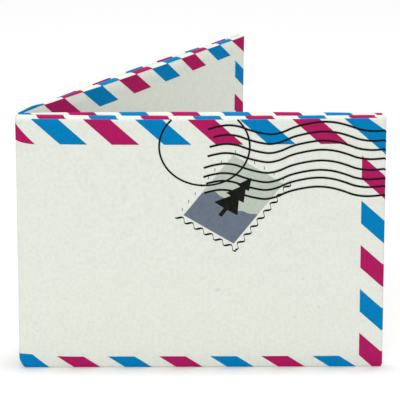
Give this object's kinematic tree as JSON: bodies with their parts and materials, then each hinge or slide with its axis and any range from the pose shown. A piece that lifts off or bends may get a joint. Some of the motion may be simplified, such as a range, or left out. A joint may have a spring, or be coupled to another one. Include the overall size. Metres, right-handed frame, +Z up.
{
  "type": "folded paper wallet",
  "caption": "Bifold wallet folded from one sheet of tear-resistant paper with a slanted stripe border, a postmark and a stamp print, standing open in a V.",
  "frame": {"origin": "centre of the wallet's outline in plan, at the level of the surface it stands on", "axes": "+X along the front panel from the spine to its free end, +Y from the front face back to the rear panel, +Z up"},
  "size_m": [0.1081, 0.091, 0.0788],
  "materials": {
    "paper": "matte tear-resistant paper with a faint fibre mottle",
    "blue_ink": "matte blue printing ink",
    "magenta_ink": "matte magenta printing ink",
    "pale_ink": "matte pale grey-green printing ink",
    "slate_ink": "matte slate printing ink",
    "black_ink": "matte black printing ink"
  },
  "bodies": {
    "root": {"sheet": "paper", "blue_stripes": "blue_ink", "magenta_stripes": "magenta_ink", "stamp_sky": "pale_ink", "stamp_hills": "slate_ink", "stamp_tree": "black_ink", "stamp_edge": "black_ink", "postmark": "black_ink"}
  },
  "joints": []
}
